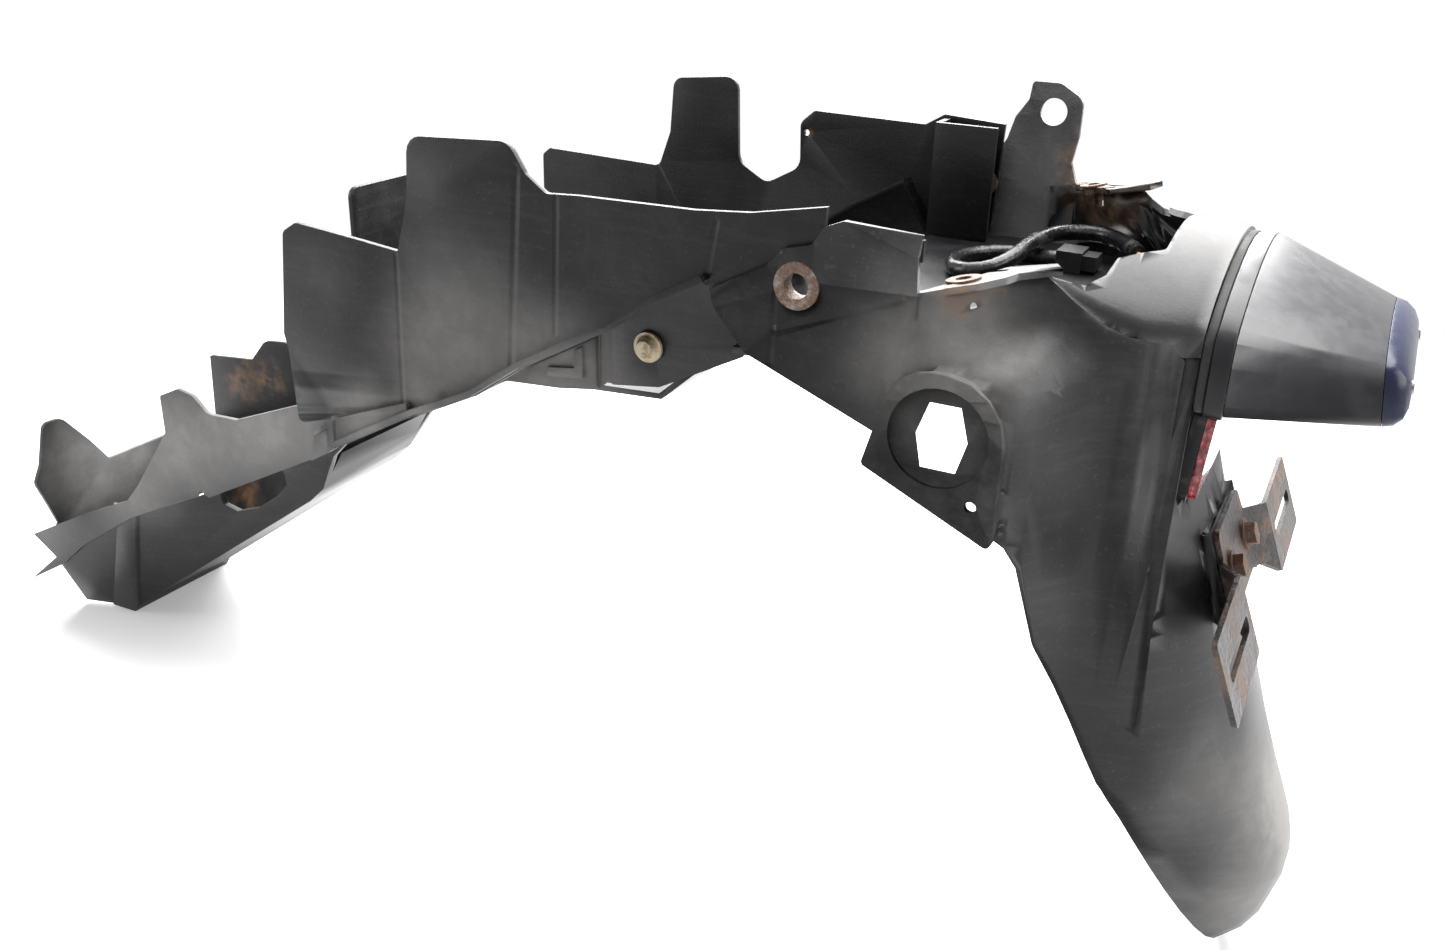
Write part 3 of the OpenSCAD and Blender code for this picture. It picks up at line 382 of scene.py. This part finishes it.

# smaller finishes: a colour with worn patches and, where a sky tone is given, a painted sheen on upward-facing
# surfaces
wear = {
    "patchDetail": 6, "patchRough": 0.65, "patchLow": 0.62, "patchHigh": 0.72, "patchShift": 0.3,
    "fineTimes": 6, "fineDetail": 3, "fineRough": 0.6, "fineLow": 0.4, "fineHigh": 0.66,
    "maskAll": 0.55, "maskFine": 0.45, "plainTimes": 1.5, "plainMore": 0.02,
    "skyPower": 2.5, "skyFine": 0.3, "skyAll": 0.7, "roughOfFine": 0.05, "metalLost": 0.8,
}


def makeSimple(name, colour, roughness, metal=0.0, worn=None, wornAmount=0.0, scale=120, grain=0.1,
               wornRough=0.25, distance=0.0003, shine=0.4, paintedSheenTone=None, paintedSheenAmount=0.0):
    w = wear
    material, shader, flow, place = startMaterial(name)
    shift = w["patchShift"] * wornAmount
    patch = noise(flow, place, scale, w["patchDetail"], w["patchRough"], w["patchLow"] - shift,
                  w["patchHigh"] - shift)
    fine = noise(flow, place, scale * w["fineTimes"], w["fineDetail"], w["fineRough"], w["fineLow"],
                 w["fineHigh"])
    worn = worn or tuple(c * w["plainTimes"] + w["plainMore"] for c in colour)
    mask = (patch * (w["maskAll"] + fine * w["maskFine"])).clamped()
    tone = blendColour(flow, mask, (*colour, 1), (*worn, 1))
    # painted sheen: a lighter tone on upward-facing surfaces, where the light from above falls
    if paintedSheenTone:
        sky = facing(flow) ** w["skyPower"] * (fine * w["skyFine"] + w["skyAll"]) * paintedSheenAmount
        tone = blendColour(flow, sky.clamped(), tone, (*paintedSheenTone, 1))
    feed(shader, "Base Color", tone)
    feed(shader, "Roughness", roughness + mask * wornRough + fine * w["roughOfFine"])
    if metal:
        feed(shader, "Metallic", metal - mask * metal * w["metalLost"])
    shader.inputs["Specular IOR Level"].default_value = shine
    feed(shader, "Normal", bump(flow, fine + patch, grain, distance))
    return material


simpleFinishes = {
    # the lamp body's sky tone is a painted sheen on its top, the lens's a painted bluish reflection
    "lamp_black": {"name": "glossyLampBlack", "colour": (0.007, 0.007, 0.009), "roughness": 0.3,
                   "worn": (0.014, 0.014, 0.017), "wornAmount": 0.2, "scale": 30, "grain": 0.01,
                   "shine": 0.28, "paintedSheenTone": (0.3, 0.3, 0.31), "paintedSheenAmount": 0.3},
    "smoked_lens": {"name": "smokedLens", "colour": (0.004, 0.007, 0.03), "roughness": 0.26,
                    "worn": (0.008, 0.012, 0.04), "wornAmount": 0.2, "scale": 40, "grain": 0.01,
                    "wornRough": 0.1, "shine": 0.3, "paintedSheenTone": (0.03, 0.04, 0.11), "paintedSheenAmount": 0.5},
    "black_rubber": {"name": "blackRubber", "colour": (0.02, 0.02, 0.021), "roughness": 0.62,
                     "worn": (0.07, 0.066, 0.06), "wornAmount": 0.5, "scale": 80},
    "sleeve_black": {"name": "vinylSleeve", "colour": (0.008, 0.008, 0.010), "roughness": 0.2,
                     "worn": (0.03, 0.029, 0.028), "wornAmount": 0.3, "scale": 70, "grain": 0.2,
                     "distance": 0.0006},
    "wire_cream": {"name": "creamWire", "colour": (0.62, 0.47, 0.22), "roughness": 0.4,
                   "worn": (0.4, 0.28, 0.12), "wornAmount": 0.5, "scale": 200},
    "holder_plastic": {"name": "connectorPlastic", "colour": (0.022, 0.022, 0.024), "roughness": 0.42,
                       "wornAmount": 0.3, "scale": 90},
    "backing_black": {"name": "backingPlastic", "colour": (0.018, 0.018, 0.02), "roughness": 0.38,
                      "worn": (0.09, 0.085, 0.08), "wornAmount": 0.35, "scale": 60},
    "rusty_collar": {"name": "rustyCollar", "colour": (0.22, 0.19, 0.17), "roughness": 0.45, "metal": 0.7,
                     "worn": (0.13, 0.065, 0.035), "wornAmount": 0.75, "scale": 150, "grain": 0.5},
    "rusty_plate": {"name": "rustyPlate", "colour": (0.045, 0.041, 0.040), "roughness": 0.42, "metal": 0.2,
                    "worn": (0.17, 0.115, 0.09), "wornAmount": 0.5, "scale": 55, "grain": 0.6,
                    "distance": 0.0005},
    "rusty_bolt": {"name": "rustyBolt", "colour": (0.11, 0.085, 0.07), "roughness": 0.5, "metal": 0.6,
                   "worn": (0.15, 0.075, 0.04), "wornAmount": 0.7, "scale": 170, "grain": 0.7},
    "dark_screw": {"name": "darkScrew", "colour": (0.10, 0.09, 0.085), "roughness": 0.45, "metal": 0.7,
                   "worn": (0.18, 0.09, 0.05), "wornAmount": 0.5, "scale": 160, "grain": 0.4},
    "zinc": {"name": "dullZinc", "colour": (0.42, 0.40, 0.37), "roughness": 0.4, "metal": 0.85,
             "worn": (0.22, 0.15, 0.10), "wornAmount": 0.4, "scale": 140, "grain": 0.3},
    "clip_plastic": {"name": "agedClip", "colour": (0.55, 0.47, 0.33), "roughness": 0.38,
                     "worn": (0.26, 0.17, 0.08), "wornAmount": 0.5, "scale": 130, "grain": 0.4},
    "bulb_glass": {"name": "bulbGlass", "colour": (0.82, 0.8, 0.74), "roughness": 0.1,
                   "worn": (1.0, 1.0, 1.0), "wornAmount": 0.2, "scale": 90},
}
for slot, settings in simpleFinishes.items():
    finishes[slot] = makeSimple(**settings)

# red reflector with small prisms
prisms = {
    "scale": 320.0, "toneTimes": 1.6, "roughness": 0.12, "roughOfCells": 0.3, "coat": 0.8,
    "coatRoughness": 0.04, "bumpStrength": 0.8, "bumpDepth": 0.001,
    "stops": [(0.0, (0.95, 0.16, 0.18)), (0.45, (0.55, 0.02, 0.035)), (1.0, (0.22, 0.004, 0.012))],
}


def makeReflector(p):
    material, shader, flow, place = startMaterial("prismReflector")
    cells = flow.add("ShaderNodeTexVoronoi", {"feature": "F1"}, {"Vector": place, "Scale": p["scale"]})
    tone = flow.add("ShaderNodeValToRGB", {"stops": p["stops"]}, {0: cells * p["toneTimes"]})
    feed(shader, "Base Color", tone)
    feed(shader, "Roughness", p["roughness"] + cells * p["roughOfCells"])
    shader.inputs["Coat Weight"].default_value = p["coat"]
    shader.inputs["Coat Roughness"].default_value = p["coatRoughness"]
    feed(shader, "Normal", bump(flow, cells, p["bumpStrength"], p["bumpDepth"]))
    return material


finishes["reflector_red"] = makeReflector(prisms)
for name, piece in nodes.items():
    piece.data.materials.clear()
    piece.data.materials.append(finishes[slotOf[name]])
sleeve.data.materials.append(finishes["sleeve_black"])
wire.data.materials.append(finishes["wire_cream"])
print("finishes set:", len(finishes))

# copies of the two mouldings and the lamp's pieces, with merged faces, softened edges and smooth
# shading; angles in degrees, edge widths in metres. The mouldings' shortest edges hold their soft
# edges down to almost no width, and the narrow faces there keep each wall's shading to itself
mergeDistance = 0.00001
softening = {
    "lamp_gasket": {"name": "lampSeal", "flat": 0.05, "smooth": 42, "edge": 0.0004, "angle": 40},
    "lamp_base": {"name": "lampFoot", "flat": 0.05, "smooth": 42, "edge": 0.0004, "angle": 40},
    "lamp_housing": {"name": "lampBody", "flat": 0.05, "smooth": 50, "edge": 0.0004, "angle": 50},
    "lamp_lens": {"name": "lampEnd", "flat": 0.05, "smooth": 60, "edge": 0.0003, "angle": 60},
    "front_fender": {"name": "frontMoulding", "flat": 0.6, "smooth": 38, "edge": 0.0005, "angle": 32},
    "rear_fender": {"name": "rearMoulding", "flat": 0.15, "smooth": 44, "edge": 0.0005, "angle": 48},
}


def softenEdges(piece, edge, angle):
    soft = piece.modifiers.new("softEdge", "BEVEL")
    soft.width = edge
    soft.segments = 2
    soft.limit_method = "ANGLE"
    soft.angle_limit = math.radians(angle)
    soft.harden_normals = False
    bpy.ops.object.modifier_apply(modifier=soft.name)


def softCopy(node, name, flat, smooth, edge, angle):
    piece = nodes[node].copy()
    piece.data = nodes[node].data.copy()
    piece.name = name
    piece.parent = None
    scene.collection.objects.link(piece)
    pickOnly(piece)
    bpy.ops.object.mode_set(mode="EDIT")
    bpy.ops.mesh.select_all(action="SELECT")
    bpy.ops.mesh.remove_doubles(threshold=mergeDistance)
    bpy.ops.mesh.dissolve_limited(angle_limit=math.radians(flat))
    bpy.ops.object.mode_set(mode="OBJECT")
    softenEdges(piece, edge, angle)
    bpy.ops.object.mode_set(mode="EDIT")
    bpy.ops.mesh.select_all(action="SELECT")
    bpy.ops.mesh.quads_convert_to_tris()
    bpy.ops.object.mode_set(mode="OBJECT")
    bpy.ops.object.shade_smooth_by_angle(angle=math.radians(smooth))
    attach(piece, "root")
    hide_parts(node)
    print(name, "triangles:", len(piece.data.polygons))


for node, settings in softening.items():
    softCopy(node, **settings)

# floor, light and sky
studio = {
    "white": (1, 1, 1, 1), "floor": (0.95, 0.95, 0.95, 1), "floorSize": 8, "floorDrop": 0.0002,
    "floorGlow": 0.3, "fadeFrom": 0.6, "fadeOver": 0.6, "sky": 0.2,
}
lights = [
    {"name": "topSoftbox", "place": (0.15, 0.45, 1.35), "aim": (0.05, 0.0, 0.2), "size": (1.5, 1.0),
     "power": 46.0},
    {"name": "rightSoftbox", "place": (1.5, 0.1, 0.75), "aim": (0.25, 0.0, 0.15), "size": (0.9, 1.0),
     "power": 13.0},
    {"name": "backSoftbox", "place": (-0.45, 1.5, 1.1), "aim": (0.1, 0.0, 0.25), "size": (1.9, 0.9),
     "power": 60.0},
    {"name": "leftSoftbox", "place": (-1.3, -0.7, 0.8), "aim": (-0.2, 0.0, 0.1), "size": (0.7, 0.7),
     "power": 8.0},
]


# the camera sees a lit floor near the part, lifted towards white, and plain white further off
def makeFloor(s):
    deselectAll()
    bpy.ops.mesh.primitive_plane_add(size=s["floorSize"], location=(0, 0, -s["floorDrop"]))
    floor = bpy.context.object
    floor.name = "studioFloor"
    bpy.ops.object.transform_apply(location=True, rotation=False, scale=True)
    material, _, flow, place = startMaterial("paleFloor")
    tree = material.node_tree
    path = tree.nodes.new("ShaderNodeLightPath")
    seen = Flow(tree, path.outputs["Is Camera Ray"]).most(Flow(tree, path.outputs["Is Glossy Ray"]))
    away = flow.add("ShaderNodeVectorMath", {"operation": "LENGTH"}, {0: place}, out="Value")
    far = ((away - s["fadeFrom"]) * (1 / s["fadeOver"])).clamped() * seen
    catcher = flow.add("ShaderNodeBsdfDiffuse", {}, {"Color": s["floor"]})
    glow = flow.add("ShaderNodeEmission", {}, {"Color": s["white"], "Strength": seen * s["floorGlow"]})
    lifted = flow.add("ShaderNodeAddShader", {}, {0: catcher, 1: glow})
    white = flow.add("ShaderNodeEmission", {}, {"Color": s["white"], "Strength": 1.0})
    both = flow.add("ShaderNodeMixShader", {}, {0: far, 1: lifted, 2: white})
    tree.links.new(both.socket, tree.nodes["Material Output"].inputs["Surface"])
    floor.data.materials.append(material)


def makeLight(name, place, aim, size, power):
    bpy.ops.object.light_add(type="AREA", location=place)
    lamp = bpy.context.object
    lamp.name = name
    lamp.data.shape = "RECTANGLE"
    lamp.data.size, lamp.data.size_y = size
    lamp.data.energy = power
    lamp.rotation_euler = (Vector(aim) - Vector(place)).to_track_quat("-Z", "Y").to_euler()


# full white to the camera and in reflections, and weaker as a light
def makeSky(s):
    world = bpy.data.worlds.new("studioSky")
    world.use_nodes = True
    scene.world = world
    tree = world.node_tree
    path = tree.nodes.new("ShaderNodeLightPath")
    kinds = ("Is Camera Ray", "Is Glossy Ray", "Is Transmission Ray")
    rays = [Flow(tree, path.outputs[kind]) for kind in kinds]
    seen = rays[0].most(rays[1]).most(rays[2])
    strength = seen * (1 - s["sky"]) + s["sky"]
    background = tree.nodes["Background"]
    background.inputs["Color"].default_value = s["white"]
    tree.links.new(strength.socket, background.inputs["Strength"])


makeFloor(studio)
makeSky(studio)
for settings in lights:
    makeLight(**settings)
scene.view_settings.view_transform = "Standard"
print("studio ready")
